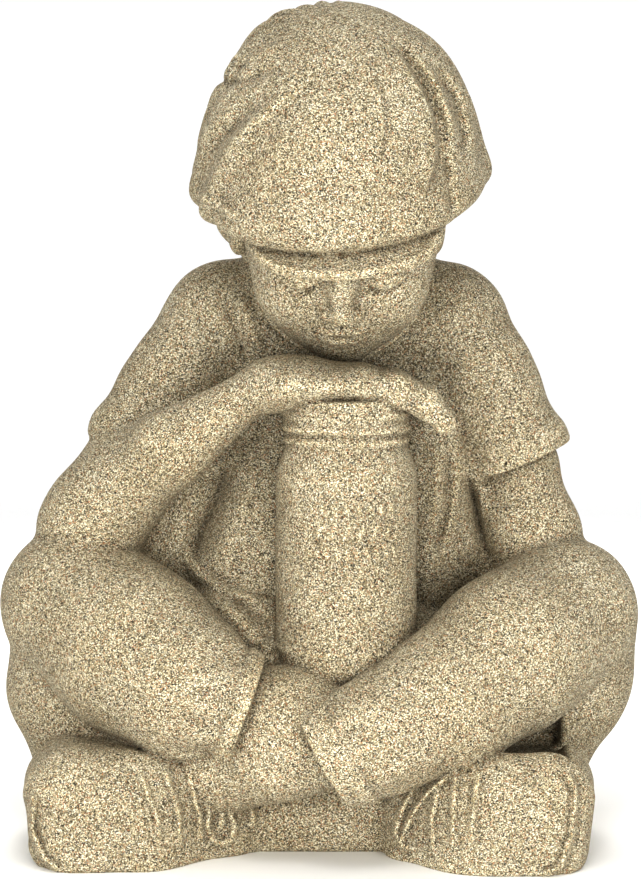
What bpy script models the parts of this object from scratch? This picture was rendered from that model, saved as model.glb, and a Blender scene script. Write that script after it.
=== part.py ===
"""Seated boy statue in cast stone: cross-legged, chin on the hand that rests on a lidded jar.

x is right as seen from the front, y runs to the back, z is up, in metres. The forms are distance
fields: each function returns, for an array of points, how far each point lies outside its form.
"""

import math

import bpy
import numpy as np
import openvdb

JAR_X, JAR_Y = 0.0195, -0.070
JAR_RADIUS = 0.0535
JAR_NECK_RADIUS = 0.0455
JAR_BOTTOM, JAR_SHOULDER, JAR_TOP = 0.124, 0.305, 0.339
HAND_Z = JAR_TOP + 0.014
HEAD_TILT = 38.0
HEAD_CENTRE = (0.016, -0.045, HAND_Z + 0.139)
CROWN_CENTRE = (0.0148, -0.040, HEAD_CENTRE[2] + 0.020)
CROWN_RADII = (0.1070, 0.124, 0.127)
CROWN_SLOPE = 23.0
SHOULDER_Z = 0.392
KNEE_RADIUS = 0.061
SHOE_DEPTH, SHOE_HEIGHT = 0.116, 0.084
CUFF_LIFT = 0.0028
VISOR_THICKNESS = 0.0088
VOXEL = 0.004
TRIANGLES = 9700

# folds of the cap: azimuth from the face at the button and at the rim, height, width in degrees
CAP_FOLDS = (
    (-36, -62, 0.0036, 5),
    (-75, -80, 0.0030, 6),
    (50, 24, 0.0030, 4),
    (75, 30, 0.0070, 5),
    (104, 84, 0.0030, 5),
    (128, 112, 0.0026, 6),
    (-142, -134, 0.0036, 7),
)


def axes_from(tilt=0.0, turn=0.0, roll=0.0):
    """Local axes as rows: rolled about y, then tilted about x, then turned about z, in degrees."""
    t, u, r = (math.radians(angle) for angle in (tilt, turn, roll))
    about_y = np.array([[math.cos(r), 0, math.sin(r)], [0, 1, 0], [-math.sin(r), 0, math.cos(r)]])
    about_x = np.array([[1, 0, 0], [0, math.cos(t), -math.sin(t)], [0, math.sin(t), math.cos(t)]])
    about_z = np.array([[math.cos(u), -math.sin(u), 0], [math.sin(u), math.cos(u), 0], [0, 0, 1]])
    return (about_z @ about_x @ about_y).T


def ellipsoid(p, centre, radii, axes=None):
    q = p - np.float32(centre)
    if axes is not None:
        q = q @ np.float32(axes).T
    radius = np.float32(radii)
    outer = np.linalg.norm(q / radius, axis=1)
    slope = np.linalg.norm(q / radius**2, axis=1)
    return outer * (outer - 1) / np.maximum(slope, 1e-6)


def block(p, centre, half, rounding, axes=None):
    q = p - np.float32(centre)
    if axes is not None:
        q = q @ np.float32(axes).T
    out = np.abs(q) - (np.float32(half) - rounding)
    inside = np.minimum(out.max(axis=1), 0)
    return np.linalg.norm(np.maximum(out, 0), axis=1) + inside - rounding


def segment(p, a, b):
    """Distance from each point to the line from a to b, and how far along it lies, from 0 to 1."""
    a, b = np.float32(a), np.float32(b)
    along = b - a
    t = np.clip(((p - a) @ along) / max(float(along @ along), 1e-12), 0, 1)
    return np.linalg.norm(p - a - t[:, None] * along, axis=1), t


def join(a, b, soft=0.0):
    """The union of two fields, with a fillet of about that radius."""
    if soft <= 0:
        return np.minimum(a, b)
    near = np.maximum(soft - np.abs(a - b), 0) / soft
    return np.minimum(a, b) - near * near * soft * 0.25


def carve(a, b, soft=0.0):
    """What is left of a after b is taken away."""
    return -join(-a, b, soft)


def meet(a, b, soft=0.0):
    return -join(-a, -b, soft)


def limb(p, stations, soft=0.02, squash=None):
    """A limb through (x, y, z, radius) stations. squash=(axis, stretch) widens it along that axis."""
    rows = np.array(stations, np.float32)
    if squash is not None:
        axis = np.float32(squash[0])
        scale = 1 / squash[1]
        p = p - ((p @ axis) * (1 - scale))[:, None] * axis
        rows[:, :3] -= ((rows[:, :3] @ axis) * (1 - scale))[:, None] * axis
    found = None
    for a, b in zip(rows[:-1], rows[1:]):
        d, t = segment(p, a[:3], b[:3])
        d = d - (a[3] + (b[3] - a[3]) * t * t * (3 - 2 * t))
        found = d if found is None else join(found, d, soft)
    return found


def bump(distance, width):
    return np.exp(-((distance / width) ** 2))


def smoothstep(v, low, high):
    t = np.clip((v - low) / (high - low), 0, 1)
    return t * t * (3 - 2 * t)


def head_axes():
    """Rows: right, forward out of the face, up to the crown."""
    t = math.radians(HEAD_TILT)
    return np.float32([[1, 0, 0], [0, -math.cos(t), -math.sin(t)], [0, -math.sin(t), math.cos(t)]])


def mirrored(q):
    m = q.copy()
    m[:, 0] = np.abs(m[:, 0])
    return m


def shirt(p):
    d = ellipsoid(p, (0.012, 0.080, 0.205), (0.140, 0.082, 0.135))
    d = join(d, ellipsoid(p, (0.014, 0.055, 0.330), (0.106, 0.080, 0.105), axes_from(tilt=-14)), 0.05)
    shoulders = [
        (-0.062, 0.035, SHOULDER_Z, 0.051),
        (0.014, 0.042, SHOULDER_Z + 0.016, 0.052),
        (0.097, 0.035, SHOULDER_Z, 0.049),
    ]
    d = join(d, limb(p, shoulders), 0.04)
    d = join(d, limb(p, [(0.014, 0.040, 0.415, 0.058), (0.016, -0.005, 0.465, 0.056)]), 0.03)
    # the shirt hangs from the upper arms to the lap on both sides
    d = join(d, ellipsoid(p, (-0.118, 0.045, 0.240), (0.060, 0.060, 0.110)), 0.05)
    d = join(d, ellipsoid(p, (0.132, 0.050, 0.235), (0.054, 0.055, 0.105)), 0.05)
    d = join(d, ellipsoid(p, (-0.045, 0.010, 0.215), (0.056, 0.050, 0.090)), 0.03)
    d = join(d, ellipsoid(p, (0.083, 0.012, 0.260), (0.042, 0.046, 0.100)), 0.03)
    d = join(d, ellipsoid(p, (-0.062, -0.022, 0.148), (0.058, 0.050, 0.044)), 0.015)
    # the hem lies on the lap in front and lower behind
    hem = 0.100 + 0.35 * np.clip(0.06 - p[:, 1], 0, 0.2) + 0.004 * np.sin(p[:, 0] * 70)
    flare = 0.006 * smoothstep(p[:, 2], hem + 0.05, hem)
    return meet(d - flare, hem - p[:, 2], 0.004)


def hips(p):
    d = ellipsoid(p, (0.012, 0.084, 0.085), (0.160, 0.094, 0.098))
    d = join(d, ellipsoid(p, (0.012, 0.070, 0.180), (0.130, 0.072, 0.080)), 0.04)
    return join(d, ellipsoid(p, (0.004, -0.004, 0.130), (0.126, 0.088, 0.054)), 0.04)


def thighs(p):
    hip, knee = (-0.055, 0.085, 0.085, 0.080), (-0.188, -0.020, 0.177, KNEE_RADIUS)
    left = limb(p, [hip, (-0.160, 0.000, 0.096, 0.062), knee])
    left = join(left, ellipsoid(p, (-0.171, -0.010, 0.108), (0.076, 0.070, 0.062)), 0.02)
    left = join(left, ellipsoid(p, (-0.159, -0.015, 0.050), (0.064, 0.070, 0.066)), 0.02)
    hip, knee = (0.085, 0.085, 0.085, 0.080), (0.189, -0.020, 0.169, KNEE_RADIUS - 0.002)
    right = limb(p, [hip, (0.160, 0.000, 0.104, 0.062), knee])
    right = join(right, ellipsoid(p, (0.170, -0.005, 0.120), (0.076, 0.068, 0.070)), 0.02)
    right = join(right, ellipsoid(p, (0.148, 0.000, 0.050), (0.062, 0.060, 0.062)), 0.02)
    return join(left, right, 0.03)


def left_shin(p):
    stations = [
        (-0.187, -0.030, 0.177, KNEE_RADIUS),
        (-0.140, -0.072, 0.148, 0.058),
        (-0.098, -0.104, 0.125, 0.047),
        (-0.055, -0.124, 0.113, 0.030),
        (-0.020, -0.130, 0.101, 0.025),
    ]
    d = limb(p, stations, 0.03)
    # the trouser leg ends in a turned cuff
    along = 0.935 * p[:, 0] - 0.354 * p[:, 2] + 0.0915
    cuff = CUFF_LIFT * smoothstep(along, -0.014, -0.010)
    return meet(d - cuff, along, 0.003)


def right_shin(p):
    stations = [
        (0.188, -0.035, 0.170, KNEE_RADIUS - 0.004),
        (0.142, -0.080, 0.147, 0.054),
        (0.092, -0.115, 0.117, 0.047),
        (0.040, -0.138, 0.097, 0.037),
        (-0.010, -0.146, 0.078, 0.035),
    ]
    d = limb(p, stations, 0.03)
    along = 0.0420 - 0.87 * p[:, 0] - 0.49 * p[:, 2]
    cuff = CUFF_LIFT * smoothstep(along, -0.0225, -0.0185)
    return meet(d - cuff, along, 0.003)


def ankle(p):
    stations = [(0.020, -0.138, 0.090, 0.031), (-0.030, -0.128, 0.082, 0.031), (-0.075, -0.104, 0.066, 0.036)]
    return join(limb(p, stations), ellipsoid(p, (-0.028, -0.110, 0.111), (0.053, 0.044, 0.033)), 0.02)


def shoe(p, side):
    """side -1 is the shoe at the left of the front view, 1 the shoe at the right."""
    if side < 0:
        toe, heel, turn = (-0.164, -0.102, 0.030), (-0.112, -0.084, 0.032), 25
    else:
        toe, heel, turn = (0.146, -0.109, 0.028), (0.112, -0.098, 0.026), -28
    # the far end leans out from the ground to the toe cap
    q = p.copy()
    q[:, 0] -= side * 0.16 * np.clip(p[:, 2] - 0.050, -0.05, 0.0)
    half = np.float32((0.060, SHOE_DEPTH / 2, SHOE_HEIGHT - toe[2]))
    d = block(q, toe, half, 0.038, axes_from(turn=0.2 * turn, roll=-4 * side))
    end = block(p, heel, (0.058, 0.050, SHOE_HEIGHT - 0.006 - heel[2]), 0.028, axes_from(turn=turn))
    return join(d, end, 0.02)


def hollows(p):
    """The open space over the shoe at the right, and the deep crease over the one at the left."""
    roof = 0.83 * (p[:, 2] - 0.0774 - 0.668 * (p[:, 0] - 0.1245))
    wedge = meet(np.maximum(roof, 0.070 - p[:, 2]), np.maximum(p[:, 0] - 0.184, p[:, 1] + 0.045), 0.010)
    wedge = meet(wedge, -0.132 - p[:, 1], 0.006)
    crease = [
        (-0.1960, -0.080, 0.1290, 0.005),
        (-0.1640, -0.096, 0.0990, 0.010),
        (-0.1270, -0.104, 0.0880, 0.008),
        (-0.0900, -0.110, 0.0870, 0.004),
    ]
    return join(wedge, limb(p, crease, 0.01, ((0, 1, 0), 2.2)))


def ground(p):
    return block(p, (0.000, -0.028, 0.030), (0.160, 0.076, 0.045), 0.03)


def jar(p):
    r = np.linalg.norm(p[:, :2] - np.float32((JAR_X, JAR_Y)), axis=1)
    z = p[:, 2]
    body = meet(r - JAR_RADIUS, np.maximum(z - JAR_SHOULDER, JAR_BOTTOM - z), 0.028)
    neck = meet(r - JAR_NECK_RADIUS, np.maximum(z - JAR_TOP, 0.2 - z), 0.003)
    d = join(body, neck, 0.008)
    lid = 0.0020 * smoothstep(z, JAR_TOP - 0.0230, JAR_TOP - 0.0215)
    thread = 0.0020 * bump(z - JAR_TOP + 0.0290, 0.0026)
    return d - lid - thread


def left_arm(p):
    shoulder = (-0.077, 0.035, SHOULDER_Z + 0.002, 0.048)
    sleeve = limb(p, [shoulder, (-0.111, 0.020, 0.344, 0.041), (-0.140, 0.005, 0.303, 0.043)])
    hem = 0.1263 - 0.62 * p[:, 0] - 0.78 * p[:, 2]
    sleeve = meet(sleeve, hem, 0.003)
    elbow = (-0.184, -0.020, 0.234, 0.037)
    upper = limb(p, [(-0.100, 0.020, 0.370, 0.036), (-0.149, -0.008, 0.286, 0.030), elbow])
    wrist = (-0.048, JAR_Y - 0.010, HAND_Z - 0.004, 0.0175)
    fore = limb(p, [(-0.168, -0.030, 0.250, 0.033), (-0.114, -0.058, 0.301, 0.028), wrist], 0.01)
    return join(sleeve, join(upper, fore, 0.03), 0.003)


def hand(p):
    z = HAND_Z
    palm = [(-0.022, JAR_Y - 0.004, z, 0.0165), (0.030, JAR_Y - 0.001, z - 0.0005, 0.0155)]
    d = limb(p, palm, 0.012, ((0, 1, 0), 2.9))
    wrist = [(-0.066, JAR_Y - 0.004, z - 0.017, 0.0140), (-0.040, JAR_Y - 0.009, z - 0.0015, 0.0165)]
    d = join(d, limb(p, wrist + [(-0.015, JAR_Y - 0.005, z, 0.0165)], 0.012, ((0, 1, 0), 1.3)), 0.02)
    for across, reach in ((-0.028, 0.95), (-0.010, 1.0), (0.008, 0.98), (0.025, 0.90)):
        y = JAR_Y + across
        finger = [
            (0.030, y, z - 0.0005, 0.0125),
            (0.056, y, z - 0.004, 0.0120),
            (0.078, y, z - 0.0135, 0.0108),
            (0.078 + 0.0145 * reach, y, z - 0.0135 - 0.0155 * reach, 0.0088),
        ]
        d = join(d, limb(p, finger, 0.006), 0.006)
    return d


def right_arm(p):
    shoulder = (0.100, 0.035, SHOULDER_Z - 0.004, 0.050)
    sleeve = limb(p, [shoulder, (0.125, 0.020, 0.350, 0.041), (0.151, 0.010, 0.298, 0.0425)])
    hem = 0.283 + 0.41 * (p[:, 0] - 0.15)
    sleeve = meet(sleeve - 0.0035 * smoothstep(p[:, 2], hem + 0.030, hem), hem - p[:, 2], 0.003)
    arm = [
        (0.125, 0.025, 0.370, 0.030),
        (0.157, 0.012, 0.280, 0.027),
        (0.168, 0.005, 0.228, 0.034),
        (0.183, 0.045, 0.120, 0.034),
    ]
    return join(sleeve, limb(p, arm), 0.003)


def head(p):
    q = (p - np.float32(HEAD_CENTRE)) @ head_axes().T
    m = mirrored(q)
    d = ellipsoid(q, (0, -0.012, 0.015), (0.080, 0.095, 0.088))
    d = join(d, ellipsoid(q, (0, 0.026, -0.035), (0.068, 0.060, 0.072)), 0.03)
    d = join(d, ellipsoid(q, (0, 0.034, -0.065), (0.046, 0.046, 0.040)), 0.03)
    d = join(d, ellipsoid(m, (0.034, 0.058, -0.042), (0.027, 0.024, 0.026)), 0.018)
    # eye hollows, closed lids, nose, lips and chin
    d = carve(d, ellipsoid(m, (0.030, 0.094, -0.010), (0.019, 0.013, 0.010)), 0.014)
    d = join(d, ellipsoid(m, (0.030, 0.0725, -0.014), (0.016, 0.0125, 0.012)), 0.004)
    d = join(d, limb(q, [(0, 0.084, 0.004, 0.007), (0, 0.0955, -0.034, 0.0085)]), 0.010)
    d = join(d, ellipsoid(m, (0.0085, 0.0885, -0.040), (0.0065, 0.0075, 0.0055)), 0.004)
    d = join(d, ellipsoid(q, (0, 0.0815, -0.0605), (0.018, 0.008, 0.0045)), 0.005)
    d = join(d, ellipsoid(q, (0, 0.0805, -0.0685), (0.015, 0.0085, 0.0055)), 0.004)
    d = join(d, ellipsoid(q, (0, 0.068, -0.088), (0.017, 0.015, 0.013)), 0.014)
    # ears and the hair under the back of the cap
    for x in (-0.079, 0.071):
        d = join(d, ellipsoid(q, (x, -0.004, -0.030), (0.010, 0.018, 0.026)), 0.005)
    d = join(d, ellipsoid(q, (0, -0.052, -0.022), (0.074, 0.058, 0.060)), 0.012)
    return join(d, ellipsoid(q, (-0.007, -0.041, -0.053), (0.090, 0.052, 0.042)), 0.012)


def cap(p):
    q = (p - np.float32(CROWN_CENTRE)) @ head_axes().T
    crown = ellipsoid(q, (0, 0, 0), CROWN_RADII)
    azimuth = np.degrees(np.arctan2(q[:, 0], q[:, 1]))
    away = np.degrees(np.arctan2(np.linalg.norm(q[:, :2], axis=1), q[:, 2]))
    fold = np.zeros(len(p), np.float32)
    for start, end, height, width in CAP_FOLDS:
        middle = start + (end - start) * np.clip(away / 90, 0, 1)
        off = (azimuth - middle) * np.sin(np.radians(np.clip(away, 10, 90)))
        fold += height * bump(off, width) - 0.6 * height * bump(off - 1.7 * width, width)
    gathered = smoothstep(np.abs(azimuth + 135), 60, 30)
    fold += 0.0022 * gathered * np.cos(np.radians(azimuth * 30))
    # the crown bags out above its lower edge and curls under along a plane that drops to the front
    slope = math.radians(CROWN_SLOPE)
    lower = CROWN_CENTRE[2] - 0.0185 + 0.08 * (p[:, 0] - CROWN_CENTRE[0])
    under = (p[:, 1] - CROWN_CENTRE[1]) * math.sin(slope) - (p[:, 2] - lower) * math.cos(slope)
    bag = 0.0055 * bump(under + 0.014, 0.018)
    crown = meet(crown - fold * smoothstep(away, 8, 45) - bag, under, 0.014)
    # the crown laps over the visor in a thick lip
    lip_centre = (0.0190, CROWN_CENTRE[1] - 0.060, CROWN_CENTRE[2] - 0.0315)
    lip = ellipsoid(p, lip_centre, (0.058, 0.0605, 0.0085), axes_from(tilt=22, turn=-6, roll=-5))
    return join(join(crown, lip, 0.004), visor(p), 0.001)


def visor(p):
    """The stiff peak under the lip: a bowed plate that points forward and down."""
    centre = (CROWN_CENTRE[0] + 0.0032, CROWN_CENTRE[1] - 0.078, CROWN_CENTRE[2] - 0.0435)
    q = (p - np.float32(centre)) @ np.float32(axes_from(tilt=40, turn=-3, roll=-3)).T
    q[:, 2] += 1.6 * q[:, 0] ** 2
    rim = ellipsoid(q * np.float32((1, 1, 0)), (0, 0, 0), (0.071, 0.055, 1.0))
    return meet(rim, np.abs(q[:, 2]) - VISOR_THICKNESS / 2, 0.003)


def figure(p):
    d = join(shirt(p), hips(p), 0.003)
    d = join(d, thighs(p), 0.02)
    d = join(d, ground(p), 0.02)
    d = join(d, left_arm(p), 0.008)
    d = join(d, right_arm(p), 0.008)
    d = join(d, shoe(p, -1), 0.008)
    d = join(d, shoe(p, 1), 0.008)
    d = carve(d, hollows(p), 0.006)
    d = join(d, left_shin(p), 0.004)
    d = join(d, ankle(p), 0.004)
    d = join(d, right_shin(p), 0.004)
    d = join(d, jar(p), 0.004)
    d = join(d, head(p), 0.008)
    d = join(d, hand(p), 0.002)
    d = join(d, cap(p), 0.003)
    return carve(d, p[:, 2], 0.003)


def skin(field, low, high, voxel, size=8):
    """Points and faces of the field's zero surface. Only blocks near the surface are sampled."""
    low = np.array(low)
    blocks = np.ceil((np.array(high) - low) / (voxel * size)).astype(int)
    corners = np.stack(np.meshgrid(*[np.arange(n) for n in blocks], indexing="ij"), -1).reshape(-1, 3)
    coarse = field((low + (corners + 0.5) * size * voxel).astype(np.float32))
    reach = 0.8 * size * voxel * math.sqrt(3)
    values = np.full(blocks * size, 1.0, np.float32)
    view = values.reshape(blocks[0], size, blocks[1], size, blocks[2], size)
    offsets = np.stack(np.meshgrid(*[np.arange(size)] * 3, indexing="ij"), -1).reshape(-1, 3)
    for a, b, c in corners[coarse < -reach]:
        view[a, :, b, :, c, :] = -1.0
    active = corners[np.abs(coarse) <= reach]
    for start in range(0, len(active), 3000):
        rows = active[start : start + 3000]
        points = low + (rows[:, None, :] * size + offsets[None]) * voxel
        found = field(points.reshape(-1, 3).astype(np.float32)).reshape(len(rows), size, size, size)
        for (a, b, c), part in zip(rows, found):
            view[a, :, b, :, c, :] = part
    grid = openvdb.FloatGrid(1.0)
    grid.copyFromArray(values)
    points, quads = grid.convertToQuads(isovalue=0.0)
    return np.array(points) * voxel + low, np.array(quads)


def stone_material(name):
    material = bpy.data.materials.new(name)
    material.use_nodes = True
    shader = material.node_tree.nodes["Principled BSDF"]
    shader.inputs["Base Color"].default_value = (0.62, 0.54, 0.42, 1)
    shader.inputs["Roughness"].default_value = 0.9
    return material


def build():
    for old in list(bpy.data.objects):
        bpy.data.objects.remove(old)
    points, quads = skin(figure, (-0.28, -0.22, -0.012), (0.28, 0.22, 0.67), VOXEL)
    dense = bpy.data.meshes.new("boy_statue_dense")
    dense.from_pydata(points.tolist(), [], quads.tolist())
    statue = bpy.data.objects.new("boy_statue", dense)
    bpy.context.scene.collection.objects.link(statue)
    thin = statue.modifiers.new("thin", "DECIMATE")
    thin.ratio = TRIANGLES / (2 * len(quads))
    thin.use_collapse_triangulate = True
    graph = bpy.context.evaluated_depsgraph_get()
    mesh = bpy.data.meshes.new_from_object(statue.evaluated_get(graph))
    statue.modifiers.clear()
    statue.data = mesh
    # the underside is exactly flat, and the origin is below the middle of the outer box
    places = np.array([vertex.co for vertex in mesh.vertices])
    middle = (places.min(axis=0) + places.max(axis=0)) / 2
    for vertex in mesh.vertices:
        vertex.co.x -= middle[0]
        vertex.co.y -= middle[1]
        if vertex.co.z < 0.0012:
            vertex.co.z = 0.0
    mesh.name = "boy_statue"
    mesh.materials.append(stone_material("cast_stone"))
    return statue


build()
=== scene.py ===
"""Looks of the seated boy statue: the figure carved finely, its sandstone finish, floor, light, camera.

x is right as seen from the front, y runs to the back, z is up, in metres. The forms are distance
fields: each function returns, for an array of points, how far each point lies outside its form.
"""

import math

import bpy
import numpy as np
import openvdb
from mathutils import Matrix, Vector


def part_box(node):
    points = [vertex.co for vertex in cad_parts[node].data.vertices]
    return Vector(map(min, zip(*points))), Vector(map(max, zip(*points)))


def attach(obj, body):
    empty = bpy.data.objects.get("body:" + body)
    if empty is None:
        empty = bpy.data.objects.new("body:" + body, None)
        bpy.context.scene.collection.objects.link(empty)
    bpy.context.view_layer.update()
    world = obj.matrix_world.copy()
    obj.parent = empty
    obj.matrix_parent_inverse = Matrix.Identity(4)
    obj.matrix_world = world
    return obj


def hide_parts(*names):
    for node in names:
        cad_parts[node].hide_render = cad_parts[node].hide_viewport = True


# forms shared with the construction
JAR_X, JAR_Y = 0.0195, -0.070
JAR_RADIUS = 0.0535
JAR_NECK_RADIUS = 0.0455
JAR_BOTTOM, JAR_SHOULDER, JAR_TOP = 0.124, 0.305, 0.339
HAND_Z = JAR_TOP + 0.014
HEAD_TILT = 38.0
HEAD_CENTRE = (0.016, -0.045, HAND_Z + 0.139)
CROWN_CENTRE = (0.0148, -0.040, HEAD_CENTRE[2] + 0.020)
CROWN_RADII = (0.1070, 0.124, 0.127)
CROWN_SLOPE = 23.0
SHOULDER_Z = 0.392
KNEE_RADIUS = 0.061
SHOE_DEPTH, SHOE_HEIGHT = 0.116, 0.084
CUFF_LIFT = 0.0028
VISOR_THICKNESS = 0.0088

# fineness of the carved surface: sampling step, steps along a block, blocks worked out at a time,
# and the distance that stands for far away
VOXEL = 0.0018
BLOCK = 8
BATCH = 2000
FAR = 1.0
TRIANGLES = 195000
# the box that holds the figure, and how near the ground a point is laid flat on it
FIELD_LOW, FIELD_HIGH = (-0.28, -0.22, -0.012), (0.28, 0.22, 0.67)
GROUND_SNAP = 0.0008
# slow waves of the cast surface: length and height
WAVE_LENGTH, WAVE_HEIGHT = 0.021, 0.00035

# the photograph's point of view, in the figure's own coordinates
EYE = (0.0, -1.80, 0.47)
EYE_PITCH = 5.3
EYE_LENS = 62.85

# folds of the cap: azimuth from the face at the top and at the rim, height, width in degrees
CAP_FOLDS = (
    (-36, -62, 0.0036, 5),
    (-75, -80, 0.0030, 6),
    (104, 84, 0.0030, 5),
    (128, 112, 0.0026, 6),
    (-142, -134, 0.0036, 7),
)

# lines drawn on the front as seen from the eye, in x and z on the upright plane y = 0, with the
# height of the ridge (less than nothing for a crease) and its half width
CAP_LINES = (
    (0.0012, 0.0030, ((0.043, 0.584), (0.048, 0.566), (0.049, 0.548), (0.045, 0.522))),
    (0.0034, 0.0036, ((0.068, 0.610), (0.090, 0.580), (0.101, 0.552), (0.105, 0.522))),
    (-0.0030, 0.0040, ((0.084, 0.597), (0.103, 0.568), (0.110, 0.540), (0.112, 0.512))),
    (0.0030, 0.0044, ((0.090, 0.600), (0.112, 0.568), (0.119, 0.540), (0.120, 0.512))),
    (-0.0055, 0.0060, ((0.096, 0.530), (0.098, 0.508), (0.101, 0.490), (0.104, 0.470))),
    (0.0034, 0.0042, ((-0.006, 0.585), (-0.033, 0.566), (-0.049, 0.552), (-0.065, 0.537), (-0.085, 0.515))),
    (-0.0036, 0.0042, ((-0.030, 0.577), (-0.059, 0.553), (-0.077, 0.536), (-0.095, 0.517))),
    (0.0030, 0.0044, ((-0.028, 0.592), (-0.058, 0.570), (-0.080, 0.550), (-0.100, 0.528))),
    (-0.0044, 0.0050, ((-0.094, 0.588), (-0.070, 0.580), (-0.053, 0.583), (-0.032, 0.594))),
    (0.0024, 0.0040, ((-0.075, 0.598), (-0.055, 0.600), (-0.030, 0.612))),
    (0.0024, 0.0030, ((-0.103, 0.500), (-0.088, 0.489), (-0.077, 0.484), (-0.058, 0.474))),
)
# edges where the surface left of the line stands higher than right of it: height and reach of each side
CAP_EDGES = (
    (
        (0.0034, 0.016, -0.0070, 0.010),
        (
            (0.050, 0.612),
            (0.066, 0.596),
            (0.079, 0.575),
            (0.087, 0.556),
            (0.091, 0.534),
            (0.089, 0.515),
            (0.080, 0.492),
        ),
    ),
    ((0.0010, 0.010, -0.0018, 0.007), ((0.038, 0.592), (0.047, 0.570), (0.049, 0.548), (0.044, 0.515))),
)
SHIRT_LINES = (
    (-0.0060, 0.0055, ((-0.084, 0.425), (-0.068, 0.392), (-0.058, 0.360))),
    (0.0040, 0.0060, ((-0.068, 0.425), (-0.055, 0.392), (-0.047, 0.360))),
    (-0.0160, 0.0130, ((-0.071, 0.290), (-0.080, 0.262), (-0.093, 0.232), (-0.102, 0.200))),
    (0.0030, 0.0100, ((-0.052, 0.290), (-0.062, 0.250), (-0.076, 0.216), (-0.086, 0.190))),
    (0.0045, 0.0048, ((-0.112, 0.222), (-0.097, 0.196), (-0.070, 0.181), (-0.030, 0.172))),
    (0.0045, 0.0055, ((-0.095, 0.188), (-0.063, 0.160), (-0.042, 0.135), (-0.030, 0.118))),
    (-0.0040, 0.0050, ((-0.085, 0.192), (-0.056, 0.168), (-0.030, 0.150))),
    (0.0028, 0.0040, ((0.112, 0.310), (0.106, 0.250), (0.094, 0.200))),
    (-0.0034, 0.0036, ((0.103, 0.310), (0.099, 0.250), (0.090, 0.200))),
    (0.0028, 0.0040, ((0.095, 0.315), (0.091, 0.260), (0.083, 0.205))),
    (-0.0150, 0.0050, ((0.1150, 0.280), (0.1200, 0.258), (0.1240, 0.240), (0.1300, 0.222), (0.1400, 0.200))),
    (-0.0055, 0.0060, ((0.076, 0.440), (0.100, 0.385), (0.112, 0.325), (0.114, 0.265))),
)
# shoe laces, seen on the upright plane y = -0.19: the shoe at the left, then the one at the right
LACE_PLANE = -0.19
LEFT_LACES = (
    ((-0.1290, 0.0840), (-0.1230, 0.0670), (-0.1160, 0.0500), (-0.1160, 0.0320)),
    ((-0.1110, 0.0850), (-0.1050, 0.0670), (-0.1005, 0.0500), (-0.1005, 0.0310)),
    ((-0.0955, 0.0880), (-0.0910, 0.0700), (-0.0865, 0.0520), (-0.0850, 0.0330)),
    ((-0.0960, 0.0900), (-0.0840, 0.0830), (-0.0745, 0.0745)),
    ((-0.0940, 0.0800), (-0.0830, 0.0690), (-0.0750, 0.0660)),
    (
        (-0.0750, 0.0700),
        (-0.0790, 0.0560),
        (-0.0805, 0.0430),
        (-0.0765, 0.0330),
        (-0.0700, 0.0305),
        (-0.0630, 0.0340),
        (-0.0610, 0.0440),
        (-0.0660, 0.0570),
        (-0.0750, 0.0700),
    ),
    ((-0.0690, 0.0560), (-0.0710, 0.0440)),
    ((-0.0590, 0.0930), (-0.0550, 0.0720), (-0.0475, 0.0520), (-0.0480, 0.0420)),
)
RIGHT_LACES = (
    ((0.0830, 0.0700), (0.0790, 0.0500), (0.0800, 0.0280)),
    ((0.0965, 0.0850), (0.0945, 0.0560), (0.0940, 0.0280)),
    ((0.1130, 0.0850), (0.1095, 0.0620), (0.1075, 0.0330)),
    ((0.0975, 0.0850), (0.0860, 0.0760), (0.0770, 0.0690), (0.0650, 0.0520), (0.0590, 0.0370)),
    ((0.0860, 0.0890), (0.0700, 0.0780), (0.0580, 0.0560), (0.0530, 0.0400), (0.0560, 0.0300)),
    ((0.0590, 0.0370), (0.0560, 0.0300), (0.0640, 0.0270)),
)
LACE_LIFT, LACE_WIDTH = 0.0046, 0.0020
# the line of each shoe's sole round its toe: a raised edge with a groove beside it
LEFT_SOLE = ((-0.2053, 0.0700), (-0.2060, 0.0400), (-0.1992, 0.0221), (-0.1850, 0.0085))
RIGHT_SOLE = ((0.1730, 0.0860), (0.1820, 0.0700), (0.1800, 0.0380), (0.1720, 0.0140), (0.1560, 0.0060))
SOLE_LIFT, SOLE_GROOVE, SOLE_WIDTH, SOLE_STEP = 0.0028, 0.0018, 0.0018, 0.0038
# rows of shallow strokes round the front of the jar: middle, tallness, pitch and lean of each row
STROKE_ROWS = ((0.262, 0.0075, 0.0088, 0.25), (0.246, 0.0100, 0.0105, -0.3), (0.230, 0.0060, 0.0075, 0.25))
STROKE_LIFT, STROKE_WIDTH = 0.0026, 0.0015


def axes_from(tilt=0.0, turn=0.0, roll=0.0):
    """Local axes as rows: rolled about y, then tilted about x, then turned about z, in degrees."""
    t, u, r = (math.radians(angle) for angle in (tilt, turn, roll))
    about_y = np.array([[math.cos(r), 0, math.sin(r)], [0, 1, 0], [-math.sin(r), 0, math.cos(r)]])
    about_x = np.array([[1, 0, 0], [0, math.cos(t), -math.sin(t)], [0, math.sin(t), math.cos(t)]])
    about_z = np.array([[math.cos(u), -math.sin(u), 0], [math.sin(u), math.cos(u), 0], [0, 0, 1]])
    return (about_z @ about_x @ about_y).T


def ellipsoid(p, centre, radii, axes=None):
    q = p - np.float32(centre)
    if axes is not None:
        q = q @ np.float32(axes).T
    radius = np.float32(radii)
    outer = np.linalg.norm(q / radius, axis=1)
    slope = np.linalg.norm(q / radius**2, axis=1)
    return outer * (outer - 1) / np.maximum(slope, 1e-6)


def block(p, centre, half, rounding, axes=None):
    q = p - np.float32(centre)
    if axes is not None:
        q = q @ np.float32(axes).T
    out = np.abs(q) - (np.float32(half) - rounding)
    inside = np.minimum(out.max(axis=1), 0)
    return np.linalg.norm(np.maximum(out, 0), axis=1) + inside - rounding


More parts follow.
